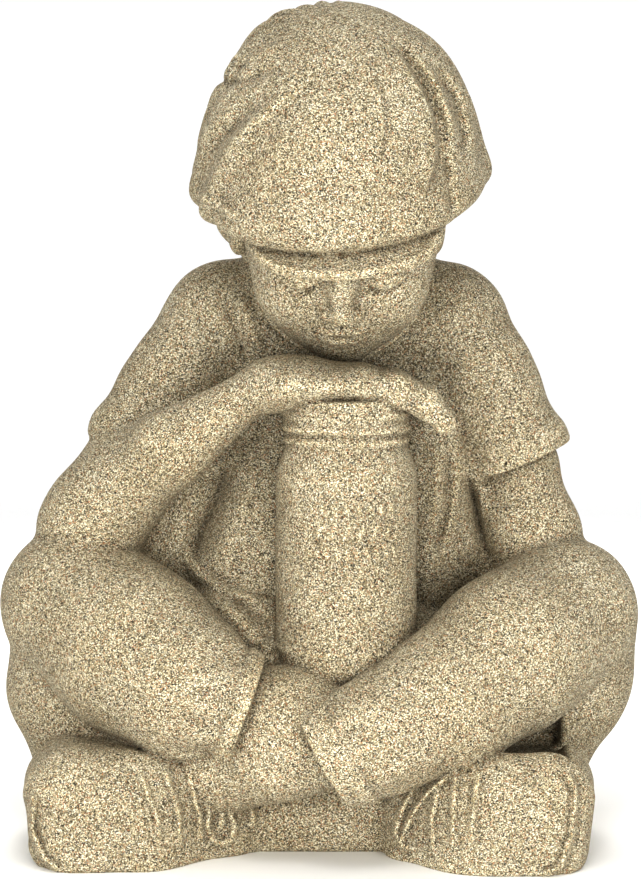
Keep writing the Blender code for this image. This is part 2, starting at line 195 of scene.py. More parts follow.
def segment(p, a, b):
    """Distance from each point to the line from a to b, and how far along it lies, from 0 to 1."""
    a, b = np.float32(a), np.float32(b)
    along = b - a
    t = np.clip(((p - a) @ along) / max(float(along @ along), 1e-12), 0, 1)
    return np.linalg.norm(p - a - t[:, None] * along, axis=1), t


def join(a, b, soft=0.0):
    """The union of two fields, with a fillet of about that radius."""
    if soft <= 0:
        return np.minimum(a, b)
    near = np.maximum(soft - np.abs(a - b), 0) / soft
    return np.minimum(a, b) - near * near * soft * 0.25


def carve(a, b, soft=0.0):
    """What is left of a after b is taken away."""
    return -join(-a, b, soft)


def meet(a, b, soft=0.0):
    return -join(-a, -b, soft)


def limb(p, stations, soft=0.02, squash=None):
    """A limb through (x, y, z, radius) stations. squash=(axis, stretch) widens it along that axis."""
    rows = np.array(stations, np.float32)
    if squash is not None:
        axis = np.float32(squash[0])
        scale = 1 / squash[1]
        p = p - ((p @ axis) * (1 - scale))[:, None] * axis
        rows[:, :3] -= ((rows[:, :3] @ axis) * (1 - scale))[:, None] * axis
    found = None
    for a, b in zip(rows[:-1], rows[1:]):
        d, t = segment(p, a[:3], b[:3])
        d = d - (a[3] + (b[3] - a[3]) * t * t * (3 - 2 * t))
        found = d if found is None else join(found, d, soft)
    return found


def bump(distance, width):
    return np.exp(-((distance / width) ** 2))


def smoothstep(v, low, high):
    t = np.clip((v - low) / (high - low), 0, 1)
    return t * t * (3 - 2 * t)


def head_axes():
    """Rows: right, forward out of the face, up to the crown."""
    t = math.radians(HEAD_TILT)
    return np.float32([[1, 0, 0], [0, -math.cos(t), -math.sin(t)], [0, -math.sin(t), math.cos(t)]])


def mirrored(q):
    m = q.copy()
    m[:, 0] = np.abs(m[:, 0])
    return m


def seen(p, plane=0.0):
    """Where the eye sees each point against the upright plane at that y: x and z."""
    away = (plane - EYE[1]) / (p[:, 1] - EYE[1])
    return np.stack((p[:, 0] * away, EYE[2] + (p[:, 2] - EYE[2]) * away), axis=1)


def beside(points, line):
    """How far each point lies from a drawn line, on which side (-1 or 1), and how far along, 0 to 1.
    For a line drawn downwards, -1 is the side at the left."""
    line = np.float32(line)
    lengths = np.linalg.norm(np.diff(line, axis=0), axis=1)
    starts = np.concatenate(([0], np.cumsum(lengths)))
    nearest = np.full(len(points), FAR, np.float32)
    side = np.zeros(len(points), np.float32)
    share = np.zeros(len(points), np.float32)
    for start, length, a, b in zip(starts, lengths, line[:-1], line[1:]):
        d, t = segment(points, a, b)
        closer = d < nearest
        turn = (b[0] - a[0]) * (points[:, 1] - a[1]) - (b[1] - a[1]) * (points[:, 0] - a[0])
        nearest = np.where(closer, d, nearest)
        side = np.where(closer, np.sign(turn), side)
        share = np.where(closer, (start + t * length) / starts[-1], share)
    return nearest, side, share


def fading(share, ends):
    return smoothstep(share, 0, ends) * smoothstep(share, 1, 1 - ends)


def carved_lines(p, lines):
    """Height of the round ridges and sharp creases of a list of (height, width, line)."""
    flat = seen(p).astype(np.float32)
    lift = np.zeros(len(p), np.float32)
    for height, width, line in lines:
        d, _, share = beside(flat, line)
        profile = bump(d, width) if height > 0 else np.exp(-1.3 * (np.sqrt(d * d + 1e-6) - 0.001) / width)
        lift += height * profile * fading(share, 0.3)
    return lift


def carved_edges(p, edges):
    """Height of folds that lap over: each side of the line has its own height and reach."""
    flat = seen(p).astype(np.float32)
    lift = np.zeros(len(p), np.float32)
    for (left, left_reach, right, right_reach), line in edges:
        d, side, share = beside(flat, line)
        over = smoothstep(side * d, -0.0010, 0.0010)
        height = (1 - over) * left * bump(d, left_reach) + over * right * bump(d, right_reach)
        lift += height * fading(share, 0.2)
    return lift


def cast_unevenness(p, scale, height):
    """Slow waves that keep a cast surface from looking turned or ruled."""
    x, y, z = (p[:, i] / scale for i in range(3))
    waves = np.sin(x + 1.7 * np.sin(0.9 * y + 0.4)) * np.sin(1.1 * z + 1.3 * np.sin(0.8 * x + 1.1))
    return height * (waves + 0.5 * np.sin(2.3 * y + 1.9 * z) * np.sin(2.1 * x + 0.7))


def shirt(p):
    d = ellipsoid(p, (0.012, 0.080, 0.205), (0.140, 0.082, 0.135))
    d = join(d, ellipsoid(p, (0.014, 0.055, 0.330), (0.106, 0.080, 0.105), axes_from(tilt=-14)), 0.05)
    shoulders = [
        (-0.062, 0.035, SHOULDER_Z, 0.051),
        (0.014, 0.042, SHOULDER_Z + 0.016, 0.052),
        (0.097, 0.035, SHOULDER_Z, 0.049),
    ]
    d = join(d, limb(p, shoulders), 0.04)
    d = join(d, limb(p, [(0.014, 0.040, 0.415, 0.058), (0.016, -0.005, 0.465, 0.056)]), 0.03)
    # the shirt hangs from the upper arms to the lap on both sides
    d = join(d, ellipsoid(p, (-0.118, 0.045, 0.240), (0.060, 0.060, 0.110)), 0.05)
    d = join(d, ellipsoid(p, (0.132, 0.050, 0.235), (0.054, 0.055, 0.105)), 0.05)
    d = join(d, ellipsoid(p, (-0.045, 0.010, 0.215), (0.056, 0.050, 0.090)), 0.03)
    d = join(d, ellipsoid(p, (0.083, 0.012, 0.260), (0.042, 0.046, 0.100)), 0.03)
    d = join(d, ellipsoid(p, (-0.062, -0.022, 0.148), (0.058, 0.050, 0.044)), 0.015)
    front = smoothstep(p[:, 1], 0.050, 0.020)
    d = d - front * carved_lines(p, SHIRT_LINES)
    # long folds down the back, deeper towards the hem
    back = smoothstep(p[:, 1], 0.080, 0.120) * smoothstep(p[:, 2], 0.400, 0.180)
    d = d - back * 0.0040 * np.cos((p[:, 0] + 0.10 * (p[:, 2] - 0.2)) * 105)
    # the hem lies on the lap in front and lower behind
    hem = 0.100 + 0.35 * np.clip(0.06 - p[:, 1], 0, 0.2) + 0.004 * np.sin(p[:, 0] * 70)
    flare = 0.006 * smoothstep(p[:, 2], hem + 0.05, hem)
    seam = -0.0010 * bump(p[:, 2] - hem - 0.014, 0.0014)
    return meet(d - flare - seam, hem - p[:, 2], 0.004)


def hips(p):
    d = ellipsoid(p, (0.012, 0.084, 0.085), (0.160, 0.094, 0.098))
    d = join(d, ellipsoid(p, (0.012, 0.070, 0.180), (0.130, 0.072, 0.080)), 0.04)
    return join(d, ellipsoid(p, (0.004, -0.004, 0.130), (0.126, 0.088, 0.054)), 0.04)


def thighs(p):
    hip, knee = (-0.055, 0.085, 0.085, 0.080), (-0.188, -0.020, 0.177, KNEE_RADIUS)
    left = limb(p, [hip, (-0.160, 0.000, 0.096, 0.062), knee])
    left = join(left, ellipsoid(p, (-0.171, -0.010, 0.108), (0.076, 0.070, 0.062)), 0.02)
    left = join(left, ellipsoid(p, (-0.159, -0.015, 0.050), (0.064, 0.070, 0.066)), 0.02)
    hip, knee = (0.085, 0.085, 0.085, 0.080), (0.189, -0.020, 0.169, KNEE_RADIUS - 0.002)
    right = limb(p, [hip, (0.160, 0.000, 0.104, 0.062), knee])
    right = join(right, ellipsoid(p, (0.170, -0.005, 0.120), (0.076, 0.068, 0.070)), 0.02)
    right = join(right, ellipsoid(p, (0.148, 0.000, 0.050), (0.062, 0.060, 0.062)), 0.02)
    return join(left, right, 0.03)


def left_shin(p):
    stations = [
        (-0.187, -0.030, 0.177, KNEE_RADIUS),
        (-0.140, -0.072, 0.148, 0.058),
        (-0.098, -0.104, 0.125, 0.047),
        (-0.055, -0.124, 0.113, 0.030),
        (-0.020, -0.130, 0.101, 0.025),
    ]
    d = limb(p, stations, 0.03)
    # the trouser leg ends in a turned cuff
    along = 0.935 * p[:, 0] - 0.354 * p[:, 2] + 0.0915
    cuff = CUFF_LIFT * smoothstep(along, -0.014, -0.010)
    pucker = 0.0014 * bump(along + 0.030, 0.016) * np.sin(p[:, 2] * 260 + p[:, 0] * 60)
    return meet(d - cuff - pucker, along, 0.003)


def right_shin(p):
    stations = [
        (0.188, -0.035, 0.170, KNEE_RADIUS - 0.004),
        (0.142, -0.080, 0.147, 0.054),
        (0.092, -0.115, 0.117, 0.047),
        (0.040, -0.138, 0.097, 0.037),
        (-0.010, -0.146, 0.078, 0.035),
    ]
    d = limb(p, stations, 0.03)
    along = 0.0420 - 0.87 * p[:, 0] - 0.49 * p[:, 2]
    cuff = CUFF_LIFT * smoothstep(along, -0.0225, -0.0185)
    pucker = 0.0014 * bump(along + 0.040, 0.016) * np.sin(p[:, 2] * 240 - p[:, 0] * 90)
    return meet(d - cuff - pucker, along, 0.003)


def ankle(p):
    stations = [(0.020, -0.138, 0.090, 0.031), (-0.030, -0.128, 0.082, 0.031), (-0.075, -0.104, 0.066, 0.036)]
    d = limb(p, stations)
    return join(d, ellipsoid(p, (-0.028, -0.110, 0.111), (0.053, 0.044, 0.033)), 0.02)


def shoe(p, side):
    """side -1 is the shoe at the left of the front view, 1 the shoe at the right."""
    if side < 0:
        toe, heel, turn = (-0.164, -0.102, 0.030), (-0.112, -0.084, 0.032), 25
        laces, sole = LEFT_LACES, LEFT_SOLE
    else:
        toe, heel, turn = (0.146, -0.109, 0.028), (0.112, -0.098, 0.026), -28
        laces, sole = RIGHT_LACES, RIGHT_SOLE
    # the far end leans out from the ground to the toe cap
    q = p.copy()
    q[:, 0] -= side * 0.16 * np.clip(p[:, 2] - 0.050, -0.05, 0.0)
    half = np.float32((0.060, SHOE_DEPTH / 2, SHOE_HEIGHT - toe[2]))
    d = block(q, toe, half, 0.038, axes_from(turn=0.2 * turn, roll=-4 * side))
    end = block(p, heel, (0.058, 0.050, SHOE_HEIGHT - 0.006 - heel[2]), 0.028, axes_from(turn=turn))
    d = join(d, end, 0.02)
    flat = seen(p, LACE_PLANE).astype(np.float32)
    front = smoothstep(p[:, 1], -0.055, -0.085)
    lift = np.zeros(len(p), np.float32)
    for line in laces:
        near, _, share = beside(flat, line)
        lift = np.maximum(lift, LACE_LIFT * bump(near, LACE_WIDTH) * (0.35 + 0.65 * fading(share, 0.1)))
    welt, _, share = beside(flat, sole)
    edge = SOLE_LIFT * bump(welt, SOLE_WIDTH) - SOLE_GROOVE * bump(welt - SOLE_STEP, SOLE_WIDTH)
    return d - front * (lift + edge * fading(share, 0.12))


def hollows(p):
    """The open space over the shoe at the right, and the deep crease over the one at the left."""
    roof = 0.83 * (p[:, 2] - 0.0774 - 0.668 * (p[:, 0] - 0.1245))
    wedge = meet(np.maximum(roof, 0.070 - p[:, 2]), np.maximum(p[:, 0] - 0.184, p[:, 1] + 0.045), 0.010)
    wedge = meet(wedge, -0.132 - p[:, 1], 0.006)
    crease = [
        (-0.1960, -0.080, 0.1290, 0.005),
        (-0.1640, -0.096, 0.0990, 0.010),
        (-0.1270, -0.104, 0.0880, 0.008),
        (-0.0900, -0.110, 0.0870, 0.004),
    ]
    return join(wedge, limb(p, crease, 0.01, ((0, 1, 0), 2.2)))


def ground(p):
    return block(p, (0.000, -0.028, 0.030), (0.160, 0.076, 0.045), 0.03)


def jar(p):
    r = np.linalg.norm(p[:, :2] - np.float32((JAR_X, JAR_Y)), axis=1)
    z = p[:, 2]
    body = meet(r - JAR_RADIUS, np.maximum(z - JAR_SHOULDER, JAR_BOTTOM - z), 0.028)
    neck = meet(r - JAR_NECK_RADIUS, np.maximum(z - JAR_TOP, 0.2 - z), 0.003)
    d = join(body, neck, 0.008)
    lid = 0.0020 * smoothstep(z, JAR_TOP - 0.0230, JAR_TOP - 0.0220)
    rim = 0.0016 * bump(z - JAR_TOP + 0.0200, 0.0018) + 0.0012 * bump(z - JAR_TOP + 0.0090, 0.0016)
    thread = 0.0024 * bump(z - JAR_TOP + 0.0290, 0.0022)
    foot = 0.0014 * bump(z - JAR_BOTTOM - 0.030, 0.0022)
    around = np.arctan2(p[:, 0] - JAR_X, JAR_Y - p[:, 1]) * JAR_RADIUS
    strokes = np.zeros(len(p), np.float32)
    for middle, tall, pitch, lean in STROKE_ROWS:
        along = (around + lean * (z - middle)) / pitch
        across = (along - np.round(along)) * pitch
        tall_enough = smoothstep(np.abs(z - middle), tall / 2 + 0.0008, tall / 2 - 0.0008)
        strokes = np.maximum(strokes, tall_enough * bump(across, STROKE_WIDTH))
    strokes *= smoothstep(np.abs(around - 0.005), 0.037, 0.034)
    return d - lid - rim - thread - foot - STROKE_LIFT * strokes


def left_arm(p):
    shoulder = (-0.077, 0.035, SHOULDER_Z + 0.002, 0.048)
    sleeve = limb(p, [shoulder, (-0.111, 0.020, 0.344, 0.041), (-0.140, 0.005, 0.303, 0.043)])
    hem = 0.1263 - 0.62 * p[:, 0] - 0.78 * p[:, 2]
    fold = 0.0008 * np.cos(hem * 120 + 1.4 * np.sin(p[:, 0] * 60)) * smoothstep(hem, -0.11, -0.02)
    sleeve = meet(sleeve - fold, hem, 0.003)
    elbow = (-0.184, -0.020, 0.234, 0.037)
    upper = limb(p, [(-0.100, 0.020, 0.370, 0.036), (-0.149, -0.008, 0.286, 0.030), elbow])
    wrist = (-0.048, JAR_Y - 0.010, HAND_Z - 0.004, 0.0175)
    fore = limb(p, [(-0.168, -0.030, 0.250, 0.033), (-0.114, -0.058, 0.301, 0.028), wrist], 0.01)
    return join(sleeve, join(upper, fore, 0.03), 0.003)


def hand(p):
    z = HAND_Z
    palm = [(-0.022, JAR_Y - 0.004, z, 0.0165), (0.030, JAR_Y - 0.001, z - 0.0005, 0.0155)]
    d = limb(p, palm, 0.012, ((0, 1, 0), 2.9))
    wrist = [(-0.066, JAR_Y - 0.004, z - 0.017, 0.0140), (-0.040, JAR_Y - 0.009, z - 0.0015, 0.0165)]
    d = join(d, limb(p, wrist + [(-0.015, JAR_Y - 0.005, z, 0.0165)], 0.012, ((0, 1, 0), 1.3)), 0.02)
    for across, reach in ((-0.028, 0.95), (-0.010, 1.0), (0.008, 0.98), (0.025, 0.90)):
        y = JAR_Y + across
        finger = [
            (0.030, y, z - 0.0005, 0.0125),
            (0.056, y, z - 0.004, 0.0120),
            (0.078, y, z - 0.0135, 0.0108),
            (0.078 + 0.0145 * reach, y, z - 0.0135 - 0.0155 * reach, 0.0088),
        ]
        nail = ellipsoid(p, (0.0845, y, z - 0.0110), (0.0050, 0.0050, 0.0020), axes_from(roll=45))
        d = join(join(d, limb(p, finger, 0.006), 0.005), nail, 0.001)
    return d


def right_arm(p):
    shoulder = (0.100, 0.035, SHOULDER_Z - 0.004, 0.050)
    sleeve = limb(p, [shoulder, (0.125, 0.020, 0.350, 0.041), (0.151, 0.010, 0.298, 0.0425)])
    hem = 0.283 + 0.41 * (p[:, 0] - 0.15)
    above = p[:, 2] - hem
    fold = 0.0007 * np.cos(above * 110 + 1.6 * np.sin(p[:, 0] * 55)) * smoothstep(above, 0.13, 0.03)
    flare = 0.0035 * smoothstep(above, 0.030, 0.0)
    sleeve = meet(sleeve - fold * smoothstep(above, 0.004, 0.02) - flare, -above, 0.003)
    arm = [
        (0.125, 0.025, 0.370, 0.030),
        (0.157, 0.012, 0.280, 0.027),
        (0.168, 0.005, 0.228, 0.034),
        (0.183, 0.045, 0.120, 0.034),
    ]
    return join(sleeve, limb(p, arm), 0.003)


def head(p):
    q = (p - np.float32(HEAD_CENTRE)) @ head_axes().T
    m = mirrored(q)
    d = ellipsoid(q, (0, -0.012, 0.015), (0.080, 0.095, 0.088))
    d = join(d, ellipsoid(q, (0, 0.026, -0.035), (0.068, 0.060, 0.072)), 0.03)
    d = join(d, ellipsoid(q, (0, 0.034, -0.065), (0.046, 0.046, 0.040)), 0.03)
    d = join(d, ellipsoid(m, (0.034, 0.058, -0.042), (0.027, 0.024, 0.026)), 0.018)
    # brows, eye hollows and closed lids with their lash line
    brow = [(0.013, 0.0865, 0.005, 0.0024), (0.031, 0.0840, 0.0090, 0.0028), (0.048, 0.0730, 0.005, 0.0022)]
    d = join(d, limb(m, brow), 0.012)
    d = carve(d, ellipsoid(m, (0.030, 0.0955, -0.012), (0.021, 0.016, 0.013)), 0.010)
    d = carve(d, ellipsoid(m, (0.0165, 0.0930, -0.009), (0.0075, 0.0100, 0.0090)), 0.006)
    d = join(d, ellipsoid(m, (0.031, 0.0730, -0.016), (0.0160, 0.0130, 0.0110)), 0.002)
    lashes = [
        (0.0160, 0.0770, -0.0180, 0.0012),
        (0.025, 0.0832, -0.0236, 0.0018),
        (0.036, 0.0832, -0.0238, 0.0018),
        (0.0465, 0.0765, -0.0190, 0.0012),
    ]
    d = carve(d, limb(m, lashes, 0.002), 0.001)
    # nose with wings and nostrils
    bridge = [(0, 0.0835, 0.004, 0.0052), (0, 0.0880, -0.016, 0.0050), (0, 0.0925, -0.034, 0.0062)]
    d = join(d, limb(q, bridge), 0.008)
    d = join(d, ellipsoid(q, (0, 0.0940, -0.0385), (0.0086, 0.0086, 0.0074)), 0.006)
    d = join(d, ellipsoid(m, (0.0100, 0.0880, -0.0400), (0.0064, 0.0080, 0.0060)), 0.003)
    d = carve(d, ellipsoid(m, (0.0056, 0.0935, -0.0462), (0.0028, 0.0044, 0.0030)), 0.001)
    # lips, the line between them, the chin
    d = carve(d, limb(q, [(0, 0.0905, -0.049, 0.0022), (0, 0.0905, -0.055, 0.0022)]), 0.003)
    d = join(d, ellipsoid(m, (0.0058, 0.0830, -0.0590), (0.0132, 0.0088, 0.0042)), 0.003)
    d = join(d, ellipsoid(q, (0, 0.0820, -0.0692), (0.0142, 0.0092, 0.0052)), 0.003)
    d = carve(d, ellipsoid(q, (0, 0.0930, -0.0775), (0.0110, 0.0060, 0.0036)), 0.006)
    mouth = [
        (0.0, 0.0920, -0.0640, 0.0017),
        (0.010, 0.0900, -0.0638, 0.0016),
        (0.0200, 0.0835, -0.0618, 0.0013),
    ]
    d = carve(d, limb(m, mouth, 0.002), 0.001)
    d = join(d, ellipsoid(q, (0, 0.068, -0.088), (0.017, 0.015, 0.013)), 0.014)
    # a strap runs from the cap round the jaw
    round_jaw = 0.627 * (q[:, 1] + 0.004) + 0.778 * (q[:, 2] + 0.030)
    d = d - 0.0034 * bump(round_jaw + 0.006, 0.0024) * smoothstep(q[:, 2], 0.02, -0.01)
    # ears with their hollows, and the hair under the back of the cap
    for x in (-0.079, 0.071):
        side = math.copysign(1, x)
        ear = ellipsoid(q, (x, -0.004, -0.030), (0.010, 0.018, 0.026))
        ear = carve(ear, ellipsoid(q, (x + side * 0.009, 0.002, -0.028), (0.005, 0.009, 0.015)), 0.003)
        d = join(d, ear, 0.005)
    hair = join(
        ellipsoid(q, (0, -0.052, -0.022), (0.074, 0.058, 0.060)),
        ellipsoid(q, (-0.007, -0.041, -0.053), (0.090, 0.052, 0.042)),
        0.012,
    )
    strand = np.arctan2(q[:, 0], -q[:, 1]) * 22
    locks = 0.0013 * np.cos(strand + 1.3 * np.sin(q[:, 2] * 90))
    return join(d, hair - locks, 0.008)


def cap(p):
    q = (p - np.float32(CROWN_CENTRE)) @ head_axes().T
    crown = ellipsoid(q, (0, 0, 0), CROWN_RADII)
    azimuth = np.degrees(np.arctan2(q[:, 0], q[:, 1]))
    away = np.degrees(np.arctan2(np.linalg.norm(q[:, :2], axis=1), q[:, 2]))
    fold = np.zeros(len(p), np.float32)
    for start, end, height, width in CAP_FOLDS:
        middle = start + (end - start) * np.clip(away / 90, 0, 1)
        off = (azimuth - middle) * np.sin(np.radians(np.clip(away, 10, 90)))
        fold += height * bump(off, width) - 0.6 * height * bump(off - 1.7 * width, width)
    gathered = smoothstep(np.abs(azimuth + 135), 60, 30)
    fold += 0.0022 * gathered * np.cos(np.radians(azimuth * 30))
    # the seams between the panels meet at the top
    front = smoothstep(p[:, 1], CROWN_CENTRE[1] + 0.045, CROWN_CENTRE[1] + 0.015)
    panel = (azimuth / 45 - np.round(azimuth / 45)) * 45 * np.sin(np.radians(np.clip(away, 4, 90)))
    seam = -0.0009 * bump(panel, 1.1) * smoothstep(away, 8, 16) * (1 - front)
    lines = front * (carved_lines(p, CAP_LINES) + carved_edges(p, CAP_EDGES))
    # the crown bags out above its lower edge and curls under along a plane that drops to the front
    slope = math.radians(CROWN_SLOPE)
    lower = CROWN_CENTRE[2] - 0.0185 + 0.08 * (p[:, 0] - CROWN_CENTRE[0])
    under = (p[:, 1] - CROWN_CENTRE[1]) * math.sin(slope) - (p[:, 2] - lower) * math.cos(slope)
    bag = 0.0055 * bump(under + 0.014, 0.018)
    crown = meet(crown - fold * smoothstep(away, 8, 45) - seam - lines - bag, under, 0.014)
    # the crown laps over the visor in a thick lip
    lip_centre = (0.0190, CROWN_CENTRE[1] - 0.060, CROWN_CENTRE[2] - 0.0315)
    lip = ellipsoid(p, lip_centre, (0.058, 0.0605, 0.0085), axes_from(tilt=22, turn=-6, roll=-5))
    return join(join(crown, lip, 0.004), visor(p), 0.001)


def visor(p):
    """The stiff peak under the lip: a bowed plate that points forward and down."""
    centre = (CROWN_CENTRE[0] + 0.0032, CROWN_CENTRE[1] - 0.078, CROWN_CENTRE[2] - 0.0435)
    q = (p - np.float32(centre)) @ np.float32(axes_from(tilt=40, turn=-3, roll=-3)).T
    q[:, 2] += 1.6 * q[:, 0] ** 2
    rim = ellipsoid(q * np.float32((1, 1, 0)), (0, 0, 0), (0.071, 0.055, 1.0))
    seam = 0.0007 * bump(rim + 0.006, 0.0012)
    return meet(rim, np.abs(q[:, 2]) - VISOR_THICKNESS / 2 + seam, 0.003)


def left_shoe(p):
    return shoe(p, -1)


def right_shoe(p):
    return shoe(p, 1)


# each form with the fillet where it meets the forms before it; the hollows are taken away
FORMS = (
    (shirt, 0.0),
    (hips, 0.003),
    (thighs, 0.02),
    (ground, 0.02),
    (left_arm, 0.008),
    (right_arm, 0.008),
    (left_shoe, 0.008),
    (right_shoe, 0.008),
    (hollows, 0.006),
    (left_shin, 0.004),
    (ankle, 0.004),
    (right_shin, 0.004),
    (jar, 0.004),
    (head, 0.008),
    (hand, 0.002),
    (cap, 0.003),
)


def figure(p, reach=None):
    """The whole figure. With a reach, p is whole blocks of points, and a form is worked out only in
    the blocks whose middle lies within the reach of it."""
    together = None
    for form, soft in FORMS:
        if reach is None:
            d = form(p)
        else:
            blocks = p.reshape(-1, BLOCK**3, 3)
            near = form(blocks.mean(axis=1)) < reach + soft
            d = np.full((len(blocks), BLOCK**3), FAR, np.float32)
            if near.any():
                d[near] = form(blocks[near].reshape(-1, 3)).reshape(-1, BLOCK**3)
            d = d.reshape(-1)
        if form is hollows:
            together = carve(together, d, soft)
        else:
            together = d if together is None else join(together, d, soft)
    together = together - cast_unevenness(p, WAVE_LENGTH, WAVE_HEIGHT)
    return carve(together, p[:, 2], 0.003)


def skin(field, low, high, voxel):
    """Points and faces of the field's zero surface. Only blocks near the surface are sampled."""
    low = np.array(low)
    blocks = np.ceil((np.array(high) - low) / (voxel * BLOCK)).astype(int)
    corners = np.stack(np.meshgrid(*[np.arange(n) for n in blocks], indexing="ij"), -1).reshape(-1, 3)
    coarse = field((low + (corners + 0.5) * BLOCK * voxel).astype(np.float32))
    reach = 0.8 * BLOCK * voxel * math.sqrt(3) + 0.004
    values = np.full(blocks * BLOCK, FAR, np.float32)
    view = values.reshape(blocks[0], BLOCK, blocks[1], BLOCK, blocks[2], BLOCK)
    offsets = np.stack(np.meshgrid(*[np.arange(BLOCK)] * 3, indexing="ij"), -1).reshape(-1, 3)
    for a, b, c in corners[coarse < -reach]:
        view[a, :, b, :, c, :] = -FAR
    active = corners[np.abs(coarse) <= reach]
    for start in range(0, len(active), BATCH):
        rows = active[start : start + BATCH]
        points = (low + (rows[:, None, :] * BLOCK + offsets[None]) * voxel).reshape(-1, 3).astype(np.float32)
        found = field(points, reach).reshape(len(rows), BLOCK, BLOCK, BLOCK)
        for (a, b, c), values_here in zip(rows, found):
            view[a, :, b, :, c, :] = values_here
    grid = openvdb.FloatGrid(FAR)
    grid.copyFromArray(values)
    points, quads = grid.convertToQuads(isovalue=0.0)
    return np.array(points) * voxel + low, np.array(quads)


def mesh_from(name, points, quads):
    mesh = bpy.data.meshes.new(name)
    mesh.vertices.add(len(points))
    mesh.vertices.foreach_set("co", points.astype(np.float32).ravel())
    mesh.loops.add(quads.size)
    mesh.loops.foreach_set("vertex_index", quads.astype(np.int32).ravel())
    mesh.polygons.add(len(quads))
    mesh.polygons.foreach_set("loop_start", np.arange(0, quads.size, 4, dtype=np.int32))
    mesh.update(calc_edges=True)
    mesh.validate()
    return mesh


def carve_statue():
    """The dense figure, thinned where it is plain, moved so that its box sits on the CAD box."""
    points, quads = skin(figure, FIELD_LOW, FIELD_HIGH, VOXEL)
    statue = bpy.data.objects.new("statue", mesh_from("statue_dense", points, quads))
    bpy.context.scene.collection.objects.link(statue)
    share = TRIANGLES / (2 * len(quads))
    if share < 1:
        thin = statue.modifiers.new("thin", "DECIMATE")
        thin.ratio = share
        thin.use_collapse_triangulate = True
        graph = bpy.context.evaluated_depsgraph_get()
        mesh = bpy.data.meshes.new_from_object(statue.evaluated_get(graph))
        statue.modifiers.clear()
        statue.data = mesh
    mesh = statue.data
    places = np.empty(len(mesh.vertices) * 3, np.float32)
    mesh.vertices.foreach_get("co", places)
    places = places.reshape(-1, 3)
    low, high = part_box("boy_statue")
    middle = (places.min(axis=0) + places.max(axis=0)) / 2
    shift = np.float32(((low.x + high.x) / 2 - middle[0], (low.y + high.y) / 2 - middle[1], low.z))
    places += shift
    places[places[:, 2] < low.z + GROUND_SNAP, 2] = low.z
    mesh.vertices.foreach_set("co", places.ravel())
    mesh.shade_smooth()
    mesh.update()
    mesh.name = "statue"
    return statue, Vector([float(value) for value in shift])


class Nodes:
    """Shorthand for adding and wiring shader nodes."""

    def __init__(self, owner):
        self.tree = owner.node_tree

    def add(self, kind, **values):
        node = self.tree.nodes.new(kind)
        for name, value in values.items():
            setattr(node, name, value)
        return node

    def wire(self, source, target):
        self.tree.links.new(source, target)

    def ramp(self, source, stops, interpolation="LINEAR"):
        node = self.add("ShaderNodeValToRGB")
        node.color_ramp.interpolation = interpolation
        elements = node.color_ramp.elements
        while len(elements) > 1:
            elements.remove(elements[-1])
        for i, (place, colour) in enumerate(stops):
            element = elements[0] if i == 0 else elements.new(place)
            element.position = place
            element.color = (*colour, 1)
        self.wire(source, node.inputs["Fac"])
        return node.outputs["Color"]

    def mix(self, share, a, b, mode="MIX"):
        node = self.add("ShaderNodeMix", data_type="RGBA", blend_type=mode)
        for socket, value in ((node.inputs["Factor"], share), (node.inputs["A"], a), (node.inputs["B"], b)):
            if isinstance(value, bpy.types.NodeSocket):
                self.wire(value, socket)
            elif isinstance(value, float):
                socket.default_value = value
            else:
                socket.default_value = (*value, 1)
        return node.outputs["Result"]

    def math(self, operation, a, b):
        node = self.add("ShaderNodeMath", operation=operation)
        for socket, value in zip(node.inputs, (a, b)):
            if isinstance(value, bpy.types.NodeSocket):
                self.wire(value, socket)
            else:
                socket.default_value = value
        return node.outputs[0]


# grains of the cast stone: from which share of the grains each colour runs
GRAINS = (
    (0.00, (0.004, 0.004, 0.004)),
    (0.10, (0.038, 0.032, 0.022)),
    (0.20, (0.145, 0.121, 0.076)),
    (0.34, (0.300, 0.255, 0.162)),
    (0.54, (0.480, 0.420, 0.285)),
    (0.75, (0.810, 0.770, 0.625)),
    (0.92, (0.440, 0.205, 0.100)),
    (0.96, (0.280, 0.285, 0.266)),
)
# grains to the metre, coarse and fine, and the share of the fine ones
COARSE_GRAINS, FINE_GRAINS, FINE_SHARE = 760.0, 1650.0, 0.90
# slow drifts of tone over the casting
DRIFT = ((0.30, (0.86, 0.84, 0.80)), (0.70, (1.0, 1.0, 1.0)))
# painted shade: darker in the recesses and creases; painted highlight: lighter on the ridges
RECESS_SHADE_AND_RIDGE_HIGHLIGHT = (
    (0.40, (0.30, 0.28, 0.25)),
    (0.485, (0.86, 0.85, 0.84)),
    (0.50, (1.0, 1.0, 1.0)),
    (0.56, (1.35, 1.35, 1.33)),
)
GRAIN_RELIEF, GRAIN_DEPTH = 0.55, 0.0005

# studio lights: name, place, what each is aimed at, diameter, power
LIGHTS = (
    ("front_top", (0.0, -0.70, 1.10), (0.0, 0.0, 0.30), 0.4, 3.5),
    ("low_front", (0.0, -0.90, 0.12), (0.0, 0.0, 0.25), 0.25, 2.7),
    ("low_left", (-0.55, -0.80, 0.24), (-0.12, 0.0, 0.20), 0.25, 2.7),
    ("low_right", (0.55, -0.80, 0.24), (0.12, 0.0, 0.20), 0.25, 2.6),
    ("back", (0.0, 1.60, 0.90), (0.0, 0.0, 0.3), 0.9, 16.0),
)
# strength of the surroundings, and the heights above the horizon between which it changes
HORIZON, OVERHEAD = 1.02, 0.98
CHANGE_FROM, CHANGE_TO = 0.11, 0.24
GAMMA = 0.72
# half the width of the floor, and the distances between which it fades out
FLOOR_HALF = 4.0
FADE_FROM, FADE_TO = 0.5, 2.6


